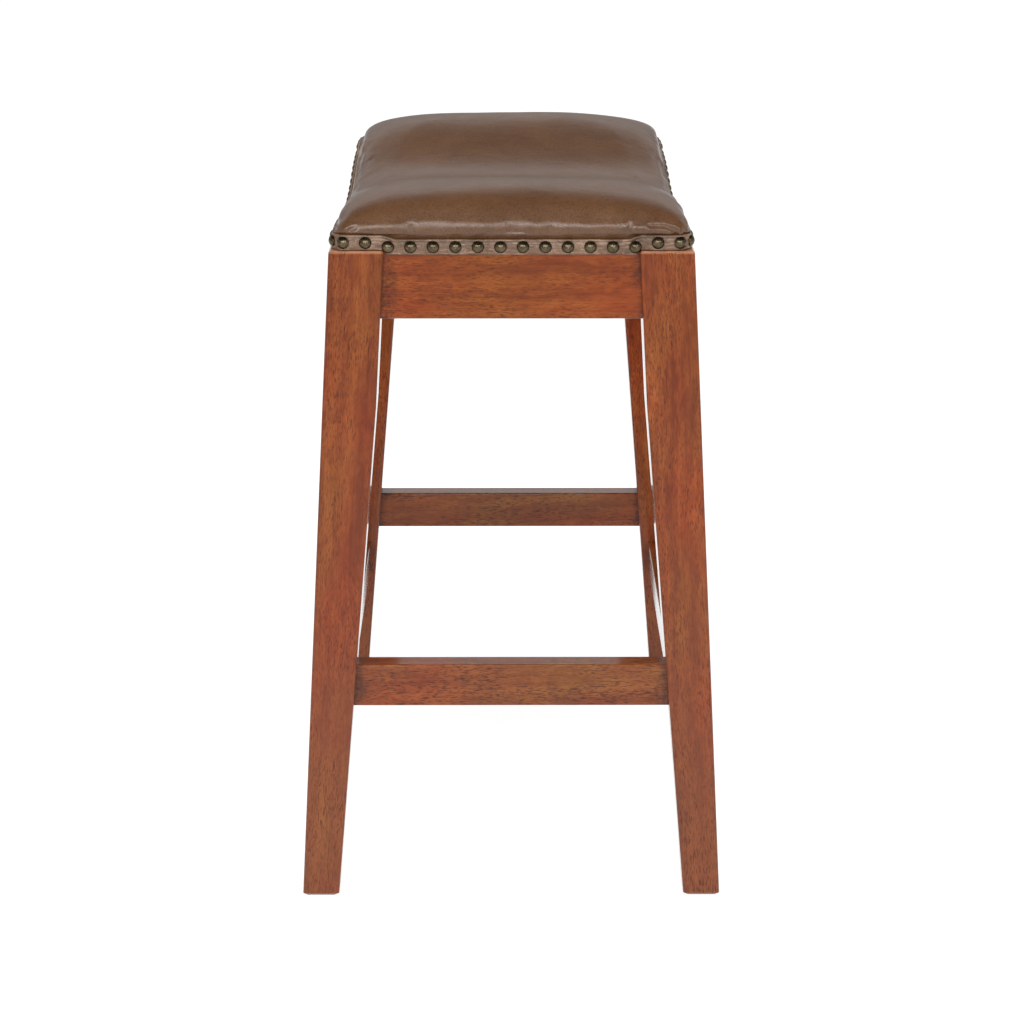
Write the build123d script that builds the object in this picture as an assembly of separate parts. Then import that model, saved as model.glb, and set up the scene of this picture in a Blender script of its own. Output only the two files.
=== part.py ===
from build123d import *
import math
import os

# Saddle stool. Lengths in millimetres, angles in degrees.
# Z is up from the floor, X runs along the seat from the sitter's left to right, Y from front to back.

# Frame
leg_height = 573
leg_span_x = 450
leg_span_y = 300
splay_angle = 3.4
leg_size = 45
foot_size = 32
taper_height = 442
leg_edge_radius = 2.5
leg_top_bevel = 1.5
foot_bevel = 2.5

apron_height = 57
apron_thickness = 20
apron_edge_radius = 1.5

end_stretcher_top = 212
side_stretcher_top = 161
stretcher_height = 37.5
end_stretcher_thickness = 19
side_stretcher_thickness = 22
stretcher_edge_radius = 1.5

# Dowelled joints
apron_dowel_diameter = 10
apron_dowel_length = 36
apron_dowel_leg_depth = 20
stretcher_dowel_diameter = 8
stretcher_dowel_length = 30
stretcher_dowel_leg_depth = 15
dowel_bevel = 0.8
dowel_clearance = 0.1
dowel_end_space = 0.8
dowel_height_shares = (0.26, 0.74)

# Corner braces and their screws
brace_height = 28
brace_thickness = 22
brace_drop = 7
brace_leg_space = 1.4
screw_head_diameter = 8
screw_head_height = 2.8
screw_shank_diameter = 4
screw_tip_length = 4
screw_clearance = 0.1
screw_recess_width = 1.1
screw_recess_span = 4.4
screw_recess_depth = 1.6
counterbore_diameter = 9.5
screw_sink = 3.5
brace_screw_apron_depth = 14
leg_screw_depth = 20
seat_screw_board_depth = 8.8
seat_screw_shift = 14.5

# Saddle and seat layers
saddle_dip = 15
leather_thickness = 1.2
board_thickness = 12
band_thickness = 1.5
band_setback = 2.7
band_corner_radius = 12
band_leg_gap = 0.3
band_top_gap = 0.1
band_apron_drop = 3.5
band_apron_gap = 0.1
band_ramp = 3
flange_width = 34

# Cushion
crest_rise = 28.4
valley_rise = 20.9
crest_margin = 60
end_roll_power = 2.6
side_roll_power = 2.4
end_bulge = 3
widest_rise = 5
foam_clearance = 0.2
cover_ledge = 0.2
form_overrun = 10
valley_steps = 12
end_roll_steps = 14
skirt_steps = 8
side_roll_steps = 10
corner_steps = 6

# Nails
nail_head_diameter = 10.3
nail_head_height = 3.3
nail_rim = 0.4
nail_shank_diameter = 1.6
nail_shank_length = 9
nail_clearance = 0.1
nail_corner_margin = 9.2
end_nail_count = 16
side_nail_count = 24

# Dust cover and staples
dust_cover_thickness = 0.5
dust_cover_corner_space = 2
staple_crown = 10
staple_wire = 0.7
staple_length = 8
staple_clearance = 0.1
staple_margin = 4
side_staple_count = 8
end_staple_count = 4

half_x = leg_span_x / 2
half_y = leg_span_y / 2
lean = math.tan(math.radians(splay_angle))
apron_bottom = leg_height - apron_height
saddle_reach = half_x - leg_size
board_bottom = leg_height + leather_thickness
board_top = board_bottom + board_thickness
board_inset = band_setback + band_thickness + leather_thickness
band_height = board_top - leg_height - band_leg_gap - band_top_gap
seat_height = board_top + crest_rise
crest_offset = half_x - crest_margin
valley_dip = crest_rise + saddle_dip - valley_rise
block_size = leg_span_x + leg_span_y


def spread(z):
    return lean * (leg_height - z)


def setback_under_band(lowest_band_edge):
    return band_setback + band_thickness + band_apron_gap + spread(lowest_band_edge)


def leg_width(z):
    return foot_size + (leg_size - foot_size) * min(z / taper_height, 1)


def saddle_drop(x):
    half_reach = saddle_reach / 2
    radius = (half_reach ** 2 + (saddle_dip / 2) ** 2) / saddle_dip
    away = abs(x)
    if away >= saddle_reach:
        return 0
    if away >= half_reach:
        return radius - math.sqrt(radius ** 2 - (saddle_reach - away) ** 2)
    return saddle_dip - radius + math.sqrt(radius ** 2 - away ** 2)


def saddle_curve(z, edge):
    def point(x):
        return (x, z - saddle_drop(x))
    middle = saddle_reach / 2
    return [
        ThreePointArc(point(-edge), point(-(edge + middle) / 2), point(-middle)),
        ThreePointArc(point(-middle), point(0), point(middle)),
        ThreePointArc(point(middle), point((edge + middle) / 2), point(edge)),
    ]


def saddle_slab(bottom, top):
    edges = saddle_curve(bottom, saddle_reach) + saddle_curve(top, saddle_reach)
    for side in (-1, 1):
        edges.append(Polyline(
            (side * saddle_reach, bottom), (side * block_size, bottom),
            (side * block_size, top), (side * saddle_reach, top)))
    return extrude(Plane.XZ * make_face(edges), block_size, both=True)


def saddle_layer(bottom, top, inset):
    outline = RectangleRounded(
        leg_span_x - 2 * inset, leg_span_y - 2 * inset, band_corner_radius + band_setback - inset)
    return extrude(outline, block_size) & saddle_slab(bottom, top)


def rod(start, direction, diameter, length):
    return Plane(start, z_dir=direction) * Cylinder(
        diameter / 2, length, align=(Align.CENTER, Align.CENTER, Align.MIN))


# Legs and rails
def leg_section(z, inset):
    width = leg_width(z)
    middle = spread(z) - width / 2
    side = width - 2 * inset
    return Pos(half_x + middle, half_y + middle, z) * RectangleRounded(side, side, leg_edge_radius)


def leg_blank():
    return loft([
        leg_section(0, foot_bevel),
        leg_section(foot_bevel, 0),
        leg_section(taper_height, 0),
        leg_section(leg_height - leg_top_bevel, 0),
        leg_section(leg_height, leg_top_bevel),
    ], ruled=True)


end_apron_setback = setback_under_band(leg_height - band_apron_drop)
side_apron_setback = setback_under_band(leg_height - band_apron_drop - saddle_dip)


def rail_section(half_span, bottom, top, setback, thickness, radius, rounded_top):
    low = half_span + spread(bottom) - setback
    high = half_span + spread(top) - setback
    face = make_face(Polyline(
        (low - thickness, bottom), (low, bottom), (high, top), (high - thickness, top), close=True))
    corners = face.vertices() if rounded_top else face.vertices().group_by(Axis.Y)[0]
    return fillet(corners, radius)


def rail_ends(half_span, bottom, top):
    heights = [top] + [z for z in (taper_height,) if bottom < z < top] + [bottom]
    right = [(half_span + spread(z) - leg_width(z), z) for z in heights]
    return [(-x, z) for x, z in right] + right[::-1]


def rail_elevation(half_span, bottom, top):
    return make_face(Polyline(rail_ends(half_span, bottom, top), close=True))


def saddle_elevation():
    ends = Polyline(rail_ends(half_x, apron_bottom, leg_height))
    return make_face(saddle_curve(leg_height, saddle_reach) + [ends])


def rail(section_plane, section, elevation_plane, elevation):
    run = extrude(section_plane * section, block_size, both=True)
    return run & extrude(elevation_plane * elevation, block_size, both=True)


def centred_setback(top, thickness):
    return (leg_width(top - stretcher_height / 2) - thickness) / 2


end_stretcher_setback = centred_setback(end_stretcher_top, end_stretcher_thickness)
side_stretcher_setback = centred_setback(side_stretcher_top, side_stretcher_thickness)

end_apron = rail(
    Plane.XZ,
    rail_section(
        half_x, apron_bottom, leg_height, end_apron_setback, apron_thickness, apron_edge_radius, False),
    Plane.YZ,
    rail_elevation(half_y, apron_bottom, leg_height))
side_apron = rail(
    Plane.YZ,
    rail_section(
        half_y, apron_bottom, leg_height, side_apron_setback, apron_thickness, apron_edge_radius, False),
    Plane.XZ,
    saddle_elevation())
end_stretcher = rail(
    Plane.XZ,
    rail_section(
        half_x, end_stretcher_top - stretcher_height, end_stretcher_top,
        end_stretcher_setback, end_stretcher_thickness, stretcher_edge_radius, True),
    Plane.YZ,
    rail_elevation(half_y, end_stretcher_top - stretcher_height, end_stretcher_top))
side_stretcher = rail(
    Plane.YZ,
    rail_section(
        half_y, side_stretcher_top - stretcher_height, side_stretcher_top,
        side_stretcher_setback, side_stretcher_thickness, stretcher_edge_radius, True),
    Plane.XZ,
    rail_elevation(half_x, side_stretcher_top - stretcher_height, side_stretcher_top))


# Dowels: each joint is (height, distance along the rail, distance across it)
def joint_points(rail_half, leg_half, bottom, height, setback, thickness):
    points = []
    for share in dowel_height_shares:
        z = bottom + share * height
        along = rail_half + spread(z) - leg_width(z)
        across = leg_half + spread(z) - setback - thickness / 2
        points.append((z, along, across))
    return points


def dowels_along(points, run_x, diameter, length, leg_depth, space):
    direction = (1, 0, 0) if run_x else (0, 1, 0)
    rods = []
    for z, along, across in points:
        start = along + leg_depth - length - space
        place = (start, across, z) if run_x else (across, start, z)
        rods.append(rod(place, direction, diameter, length + 2 * space))
    return rods


def dowel_and_hole(points, run_x, diameter, length, leg_depth):
    pins = dowels_along(points, run_x, diameter, length, leg_depth, 0)
    pins = [chamfer(pin.edges().filter_by(GeomType.CIRCLE), dowel_bevel) for pin in pins]
    holes = dowels_along(points, run_x, diameter + dowel_clearance, length, leg_depth, dowel_end_space)
    return pins, holes


side_apron_joints = joint_points(
    half_x, half_y, apron_bottom, apron_height, side_apron_setback, apron_thickness)
end_apron_joints = joint_points(
    half_y, half_x, apron_bottom, apron_height, end_apron_setback, apron_thickness)
side_stretcher_joints = joint_points(
    half_x, half_y, side_stretcher_top - stretcher_height, stretcher_height,
    side_stretcher_setback, side_stretcher_thickness)
end_stretcher_joints = joint_points(
    half_y, half_x, end_stretcher_top - stretcher_height, stretcher_height,
    end_stretcher_setback, end_stretcher_thickness)

side_apron_pins, side_apron_holes = dowel_and_hole(
    side_apron_joints, True, apron_dowel_diameter, apron_dowel_length, apron_dowel_leg_depth)
end_apron_pins, end_apron_holes = dowel_and_hole(
    end_apron_joints, False, apron_dowel_diameter, apron_dowel_length, apron_dowel_leg_depth)
side_stretcher_pins, side_stretcher_holes = dowel_and_hole(
    side_stretcher_joints, True, stretcher_dowel_diameter, stretcher_dowel_length, stretcher_dowel_leg_depth)
end_stretcher_pins, end_stretcher_holes = dowel_and_hole(
    end_stretcher_joints, False, stretcher_dowel_diameter, stretcher_dowel_length, stretcher_dowel_leg_depth)


# Corner braces, built at the corner of +X and +Y
brace_top = leg_height - brace_drop
brace_bottom = brace_top - brace_height
brace_middle = brace_top - brace_height / 2
inner_x = half_x - end_apron_setback - apron_thickness
inner_y = half_y - side_apron_setback - apron_thickness
diagonal = math.sqrt(2)
leg_corner_sum = half_x + half_y - 2 * leg_size + leg_edge_radius
brace_outer_sum = leg_corner_sum - brace_leg_space * diagonal
brace_inner_sum = brace_outer_sum - brace_thickness * diagonal
brace_middle_sum = (brace_outer_sum + brace_inner_sum) / 2


def inside_aprons():
    shape = None
    for plane, inner in ((Plane.XZ, inner_x), (Plane.YZ, inner_y)):
        low = inner + spread(brace_bottom)
        high = inner + spread(brace_top)
        face = make_face(Polyline(
            (-low, brace_bottom), (low, brace_bottom), (high, brace_top), (-high, brace_top), close=True))
        block = extrude(plane * face, block_size, both=True)
        shape = block if shape is None else shape & block
    return shape


def screw(start, direction, length, recess_turn):
    head = Cylinder(
        screw_head_diameter / 2, screw_head_height, align=(Align.CENTER, Align.CENTER, Align.MAX))
    head = fillet(head.edges().group_by(Axis.Z)[0], screw_head_height * head_round_share)
    recess = Pos(0, 0, -screw_head_height) * Box(
        screw_recess_span, screw_recess_width, screw_recess_depth,
        align=(Align.CENTER, Align.CENTER, Align.MIN))
    straight = length - screw_tip_length
    shank = Cylinder(
        screw_shank_diameter / 2, straight, align=(Align.CENTER, Align.CENTER, Align.MIN))
    tip = Pos(0, 0, straight) * Cone(
        screw_shank_diameter / 2, screw_shank_diameter * screw_tip_share, screw_tip_length,
        align=(Align.CENTER, Align.CENTER, Align.MIN))
    body = head - recess - Rot(0, 0, 90) * recess + shank + tip
    return Plane(start, z_dir=direction) * (Rot(0, 0, recess_turn) * body)


def screw_tool(start, direction, length):
    hole = rod(start, direction, screw_shank_diameter + screw_clearance, length + screw_clearance)
    away = tuple(-part for part in direction)
    return hole + rod(start, away, counterbore_diameter, block_size * counterbore_share)


head_round_share = 0.6
screw_tip_share = 0.15
counterbore_share = 0.04

brace_outline = make_face(Polyline(
    (brace_outer_sum, 0), (0, brace_outer_sum), (0, brace_inner_sum), (brace_inner_sum, 0), close=True))
brace = extrude(Pos(0, 0, brace_bottom) * brace_outline, brace_height) & inside_aprons()

# The screws into the aprons run square to the aprons, through the brace's two ends.
side_screw_face = inner_y + spread(brace_middle)
end_screw_face = inner_x + spread(brace_middle)
brace_grip = brace_thickness * diagonal / 2 - screw_sink
brace_screw_length = brace_grip + brace_screw_apron_depth
side_screw_start = (brace_middle_sum - side_screw_face, side_screw_face - brace_grip, brace_middle)
end_screw_start = (end_screw_face - brace_grip, brace_middle_sum - end_screw_face, brace_middle)
leg_corner_skew = (half_x - half_y) / 2
leg_screw_sum = brace_inner_sum + screw_sink * diagonal
leg_screw_start = (leg_screw_sum / 2 + leg_corner_skew, leg_screw_sum / 2 - leg_corner_skew, brace_middle)
leg_corner_reach = (half_x + half_y - 2 * leg_size + 2 * spread(brace_middle) - leg_screw_sum) / diagonal
leg_screw_length = leg_corner_reach + leg_screw_depth
seat_screw_start = (
    brace_middle_sum / 2 + leg_corner_skew - seat_screw_shift / diagonal,
    brace_middle_sum / 2 - leg_corner_skew + seat_screw_shift / diagonal,
    brace_bottom)
seat_screw_length = board_bottom - brace_bottom + seat_screw_board_depth
toward_corner = (1 / diagonal, 1 / diagonal, 0)

brace_screw_places = [(side_screw_start, (0, 1, 0)), (end_screw_start, (1, 0, 0))]
brace_screw_holes = [screw_tool(*place, brace_screw_length) for place in brace_screw_places]
leg_screw_hole = screw_tool(leg_screw_start, toward_corner, leg_screw_length)
seat_screw_hole = rod(
    seat_screw_start, (0, 0, 1), screw_shank_diameter + screw_clearance, seat_screw_length + screw_clearance)

brace = brace - brace_screw_holes - leg_screw_hole - seat_screw_hole
brace_screw_pair = [screw(*place, brace_screw_length, 0) for place in brace_screw_places]
leg_screw = screw(leg_screw_start, toward_corner, leg_screw_length, 45)
seat_screw = screw(seat_screw_start, (0, 0, 1), seat_screw_length, 0)


# The four corners of the stool mirror one another
def front(shape):
    return mirror(shape, about=Plane.XZ)


def left(shape):
    return mirror(shape, about=Plane.YZ)


def four_corners(shapes):
    rear_right = list(shapes)
    front_right = [front(shape) for shape in rear_right]
    return rear_right + front_right + [left(shape) for shape in rear_right + front_right]


def both_sides(shapes):
    return shapes + [front(shape) for shape in shapes]


def both_ends(shapes):
    return shapes + [left(shape) for shape in shapes]


leg = leg_blank() - (
    side_apron_holes + end_apron_holes + side_stretcher_holes + end_stretcher_holes + [leg_screw_hole])
end_apron = end_apron - both_sides(end_apron_holes + [brace_screw_holes[1]])
side_apron = side_apron - both_ends(side_apron_holes + [brace_screw_holes[0]])
end_stretcher = end_stretcher - both_sides(end_stretcher_holes)
side_stretcher = side_stretcher - both_ends(side_stretcher_holes)


# Nails
def nail():
    radius = nail_head_diameter / 2
    rise = nail_head_height - nail_rim
    outline = make_face([
        Polyline((0, nail_head_height), (0, -nail_shank_length), (nail_shank_diameter / 2, -nail_shank_length),
                 (nail_shank_diameter / 2, 0), (radius, 0), (radius, nail_rim)),
        ThreePointArc(
            (radius, nail_rim), dome_point(radius, rise, radius * dome_share), (0, nail_head_height)),
    ])
    return revolve(Plane.XZ * outline, Axis.Z)


def dome_point(radius, rise, across):
    ball = (radius ** 2 + rise ** 2) / (2 * rise)
    return (across, nail_head_height - ball + math.sqrt(ball ** 2 - across ** 2))


def band_middle(away, leg_line, drop):
    over_leg = leg_height + band_leg_gap + band_height / 2
    share = min(max((leg_line - away) / band_ramp, 0), 1)
    return over_leg - share * (band_apron_drop + drop)


def edge_place(position, half_run, half_depth):
    straight = half_run - band_setback - band_corner_radius
    past = max(abs(position) - straight, 0)
    turn = math.asin(past / band_corner_radius)
    depth = half_depth - band_setback - band_corner_radius * (1 - math.cos(turn))
    return depth, math.copysign(turn, position)


def nail_places(count, half_run, half_depth, leg_line, saddle):
    reach = half_run - band_setback - nail_corner_margin
    places = []
    for index in range(count):
        position = reach * (2 * index / (count - 1) - 1)
        depth, turn = edge_place(position, half_run, half_depth)
        drop = saddle_drop(position) if saddle else 0
        z = band_middle(abs(position), leg_line, drop)
        places.append((position, depth, z, turn))
    return places


dome_share = 0.6
end_nail_places = nail_places(end_nail_count, half_y, half_x, half_y - leg_size, False)
side_nail_places = nail_places(side_nail_count, half_x, half_y, saddle_reach, True)
end_nail_planes = [
    Plane((depth, position, z), z_dir=(math.cos(turn), math.sin(turn), 0))
    for position, depth, z, turn in end_nail_places]
side_nail_planes = [
    Plane((position, depth, z), z_dir=(math.sin(turn), math.cos(turn), 0))
    for position, depth, z, turn in side_nail_places]
nail_hole_diameter = nail_shank_diameter + nail_clearance
nail_hole = Cylinder(
    nail_hole_diameter / 2, nail_shank_length + nail_clearance, align=(Align.CENTER, Align.CENTER, Align.MAX))
end_nails = [plane * nail() for plane in end_nail_planes]
side_nails = [plane * nail() for plane in side_nail_planes]
nail_holes = both_ends([plane * nail_hole for plane in end_nail_planes])
nail_holes += both_sides([plane * nail_hole for plane in side_nail_planes])


# Staples, one crown along the edge, pushed up through dust cover and leather into the board
def staple_shape(wire, crown, length):
    bridge = Box(crown, wire, wire, align=(Align.CENTER, Align.CENTER, Align.MAX))
    prong = Box(wire, wire, length, align=(Align.CENTER, Align.CENTER, Align.MIN))
    arm = (staple_crown - staple_wire) / 2
    return bridge + Pos(arm, 0, 0) * prong + Pos(-arm, 0, 0) * prong


staple_line_x = half_x - board_inset - flange_width + staple_margin
staple_line_y = half_y - board_inset - flange_width + staple_margin
dust_half_x = staple_line_x + staple_margin
dust_half_y = staple_line_y + staple_margin
dust_cover_top = leg_height
dust_cover_bottom = dust_cover_top - dust_cover_thickness
dust_corner_sum = brace_inner_sum - dust_cover_corner_space * diagonal


def spaced(count, half_run):
    return [half_run * ((2 * index + 1) / count - 1) for index in range(count)]


def saddle_tilt(x):
    step = staple_crown / 2
    rise = saddle_drop(x - step) - saddle_drop(x + step)
    return math.atan2(rise, 2 * step)


staple_planes = []
for x in spaced(side_staple_count, dust_corner_sum - dust_half_y):
    tilt = saddle_tilt(x)
    staple_planes.append(Plane(
        (x, staple_line_y, dust_cover_bottom - saddle_drop(x)),
        x_dir=(math.cos(tilt), 0, math.sin(tilt)), z_dir=(-math.sin(tilt), 0, math.cos(tilt))))
staple_planes = staple_planes + [
    Plane((plane.origin.X, -staple_line_y, plane.origin.Z), x_dir=plane.x_dir, z_dir=plane.z_dir)
    for plane in staple_planes]
for y in spaced(end_staple_count, dust_corner_sum - dust_half_x):
    for side in (-1, 1):
        staple_planes.append(Plane((side * staple_line_x, y, dust_cover_bottom), x_dir=(0, 1, 0), z_dir=(0, 0, 1)))
staple = staple_shape(staple_wire, staple_crown, staple_length)
staple_hole = staple_shape(
    staple_wire + staple_clearance, staple_crown + staple_clearance, staple_length + staple_clearance)
staples = [plane * staple for plane in staple_planes]
staple_holes = [plane * staple_hole for plane in staple_planes]


# Seat board, trim band and dust cover
seat_screws = four_corners([seat_screw])
seat_screw_holes = four_corners([seat_screw_hole])
seat_board = saddle_layer(board_bottom, board_top, board_inset) - (nail_holes + staple_holes + seat_screw_holes)


def band_elevation(leg_line, reach, saddle):
    low = leg_height + band_leg_gap
    foot = leg_line - band_ramp
    edges = []
    for z in (low, low + band_height):
        dropped = z - band_apron_drop
        inner = dropped - saddle_drop(foot) if saddle else dropped
        if saddle:
            edges += saddle_curve(dropped, foot)
        else:
            edges.append(Line((-foot, dropped), (foot, dropped)))
        for side in (-1, 1):
            edges.append(Polyline((side * foot, inner), (side * leg_line, z), (side * reach, z)))
    for side in (-1, 1):
        edges.append(Line((side * reach, low), (side * reach, low + band_height)))
    return make_face(edges)


def band_ring():
    outer = RectangleRounded(
        leg_span_x - 2 * band_setback, leg_span_y - 2 * band_setback, band_corner_radius)
    inner_inset = band_setback + band_thickness
    inner = RectangleRounded(
        leg_span_x - 2 * inner_inset, leg_span_y - 2 * inner_inset, band_corner_radius - band_thickness)
    return extrude(outer - inner, seat_height)


band_seam = half_x - leg_size / 2
side_band = extrude(Plane.XZ * band_elevation(saddle_reach, band_seam, True), block_size, both=True)
end_band = extrude(Plane.YZ * band_elevation(half_y - leg_size, half_y, False), block_size, both=True)
end_band = end_band - Box(2 * band_seam, block_size, 2 * seat_height)
trim_band = band_ring() & (side_band + end_band)
trim_band = trim_band - nail_holes

dust_outline = Rectangle(2 * dust_half_x, 2 * dust_half_y) & make_face(Polyline(
    (dust_corner_sum, 0), (0, dust_corner_sum), (-dust_corner_sum, 0), (0, -dust_corner_sum), close=True))
dust_cover = extrude(dust_outline, block_size) & saddle_slab(dust_cover_bottom, dust_cover_top)
dust_cover = dust_cover - (staple_holes + seat_screw_holes)


# Cushion form: lengthwise outlines of valley, crests and rolled ends, lofted across the seat.
# Each outline is a list of (valley share, roll share, height at full crown, fall below the widest line).
def rolled(share, power):
    return max(1 - share ** power, 0) ** (1 / power)


def length_stations(top):
    widest = board_top + widest_rise
    stations = []
    for step in range(valley_steps):
        share = step / valley_steps
        stations.append((share, 0, top - valley_dip * (1 + math.cos(math.pi * share)) / 2, 0))
    for step in range(end_roll_steps + 1):
        across = math.sin(math.pi / 2 * step / end_roll_steps) ** (2 / end_roll_power)
        stations.append((1, across, widest + (top - widest) * rolled(across, end_roll_power), 0))
    for step in range(skirt_steps):
        fall = (widest_rise + saddle_dip + form_overrun) * ((step + 1) / skirt_steps) ** skirt_spacing_power
        stations.append((1, 1, widest, fall))
    return [(-share, -across, z, fall) for share, across, z, fall in stations[:0:-1]] + stations


def end_reach(y, reach, half_width, corner):
    past = max(abs(y) - half_width + corner, 0)
    return reach - corner + math.sqrt(max(corner ** 2 - past ** 2, 0))


def outline_points(y, reach, half_width, corner, top):
    crown = rolled(min(abs(y) / half_width, 1), side_roll_power)
    run = end_reach(y, reach, half_width, corner) - crest_offset
    points = []
    for share, across, z, fall in length_stations(top):
        x = crest_offset * share + run * across
        widest = board_top - saddle_drop(x) + widest_rise
        drawn_in = (1 + math.cos(math.pi * min(fall / widest_rise, 1))) / 2
        bulge = end_bulge * across * drawn_in * math.sqrt(crown)
        points.append(Vector(x + bulge, y, widest + (z - widest) * crown - fall))
    return points


def outline_wire(points, parameters):
    curve = Edge.make_spline(points, tangents=[Vector(0, 0, 1), Vector(0, 0, -1)], parameters=parameters)
    return Wire([curve, Edge.make_line(curve @ 1, curve @ 0)])


def width_stations(half_width, corner):
    straight = half_width - corner
    stations = []
    for step in range(side_roll_steps):
        y = half_width * math.sin(math.pi / 2 * step / side_roll_steps) ** (2 / side_roll_power)
        if y < straight * roll_limit_share:
            stations.append(y)
    for step in range(corner_steps + 1):
        stations.append(straight + corner * math.sin(math.pi / 2 * step / corner_steps))
    return [-y for y in stations[:0:-1]] + stations


def cushion_form(inset):
    skirt = band_setback + band_thickness + cover_ledge + inset
    size = (half_x - skirt, half_y - skirt, band_corner_radius + band_setback - skirt)
    top = seat_height - inset
    middle = outline_points(0, *size, top)
    lengths = [0]
    for start, end in zip(middle, middle[1:]):
        lengths.append(lengths[-1] + (end - start).length)
    parameters = [length / lengths[-1] for length in lengths]
    stations = width_stations(size[1], size[2])
    wires = [outline_wire(outline_points(y, *size, top), parameters) for y in stations]
    return Solid.make_loft(wires) & saddle_slab(board_top, seat_height + form_overrun)


skirt_spacing_power = 1.5
roll_limit_share = 0.975
cushion = cushion_form(0)
hollow = cushion_form(leather_thickness)
foam_pad = cushion_form(leather_thickness + foam_clearance)

skirt_inset = board_inset - leather_thickness
tray = saddle_layer(leg_height, board_top, skirt_inset) - saddle_layer(board_bottom, board_top, board_inset)
tray = tray - extrude(
    Rectangle(leg_span_x - 2 * (board_inset + flange_width), leg_span_y - 2 * (board_inset + flange_width)),
    block_size)
tray = tray - (nail_holes + staple_holes + seat_screw_holes)
seat_cover = (cushion - hollow) + tray

nodes = {
    "leg_rear_right": leg,
    "leg_front_right": front(leg),
    "leg_rear_left": left(leg),
    "leg_front_left": left(front(leg)),
    "apron_rear": side_apron,
    "apron_front": front(side_apron),
    "apron_right": end_apron,
    "apron_left": left(end_apron),
    "stretcher_rear": side_stretcher,
    "stretcher_front": front(side_stretcher),
    "stretcher_right": end_stretcher,
    "stretcher_left": left(end_stretcher),
    "corner_brace_rear_right": brace,
    "corner_brace_front_right": front(brace),
    "corner_brace_rear_left": left(brace),
    "corner_brace_front_left": left(front(brace)),
    "apron_dowels": Compound(children=four_corners(side_apron_pins + end_apron_pins)),
    "side_stretcher_dowels": Compound(children=four_corners(side_stretcher_pins)),
    "end_stretcher_dowels": Compound(children=four_corners(end_stretcher_pins)),
    "brace_screws": Compound(children=four_corners(brace_screw_pair)),
    "leg_screws": Compound(children=four_corners([leg_screw])),
    "seat_screws": Compound(children=seat_screws),
    "seat_board": seat_board,
    "foam_pad": foam_pad,
    "seat_cover": seat_cover,
    "trim_band": trim_band,
    "nails_right": Compound(children=end_nails),
    "nails_left": Compound(children=[left(one) for one in end_nails]),
    "nails_rear": Compound(children=side_nails),
    "nails_front": Compound(children=[front(one) for one in side_nails]),
    "cover_staples": Compound(children=staples),
    "dust_cover": dust_cover,
}

os.makedirs("parts", exist_ok=True)
for name, shape in nodes.items():
    export_step(shape, f"parts/{name}.step")
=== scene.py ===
import math
import bpy
import numpy as np
from mathutils import Matrix, Vector, noise


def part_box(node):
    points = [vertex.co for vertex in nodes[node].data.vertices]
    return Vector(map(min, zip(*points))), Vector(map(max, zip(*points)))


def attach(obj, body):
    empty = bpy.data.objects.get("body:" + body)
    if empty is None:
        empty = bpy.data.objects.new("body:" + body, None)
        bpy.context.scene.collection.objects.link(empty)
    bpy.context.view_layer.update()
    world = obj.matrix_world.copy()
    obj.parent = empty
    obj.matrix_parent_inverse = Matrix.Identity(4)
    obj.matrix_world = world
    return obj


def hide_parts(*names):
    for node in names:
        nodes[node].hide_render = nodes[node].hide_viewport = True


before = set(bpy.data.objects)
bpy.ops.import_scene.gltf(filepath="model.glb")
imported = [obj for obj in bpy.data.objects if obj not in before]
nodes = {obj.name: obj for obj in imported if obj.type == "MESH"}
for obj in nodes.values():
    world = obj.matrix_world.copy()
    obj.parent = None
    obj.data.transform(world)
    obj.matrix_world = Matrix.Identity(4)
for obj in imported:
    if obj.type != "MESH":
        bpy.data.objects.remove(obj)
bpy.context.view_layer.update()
scene = bpy.context.scene

# Camera: the photograph's place and view.
pitch, turn, roll = math.radians(19.41), math.radians(0.306), math.radians(0.06)
forward = Vector((-math.cos(pitch) * math.cos(turn), math.cos(pitch) * math.sin(turn), -math.sin(pitch)))
level_right = forward.cross(Vector((0, 0, 1))).normalized()
level_up = level_right.cross(forward)
right = level_right * math.cos(roll) + level_up * math.sin(roll)
up = right.cross(forward)
camera = bpy.data.objects.new("camera", bpy.data.cameras.new("camera"))
camera.data.lens = 83.57
camera.data.sensor_width = 36
facing = Matrix((right, up, -forward)).transposed().to_4x4()
camera_place = (2.127, -0.0097, 1.0177)
camera.matrix_world = Matrix.Translation(camera_place) @ facing
scene.collection.objects.link(camera)
scene.camera = camera
scene.view_settings.view_transform = "Standard"


# Shader helpers.
def rgb(red, green, blue):
    def linear(value):
        value = value / 255
        return value / 12.92 if value <= 0.04045 else ((value + 0.055) / 1.055) ** 2.4
    return (linear(red), linear(green), linear(blue), 1)


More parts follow.
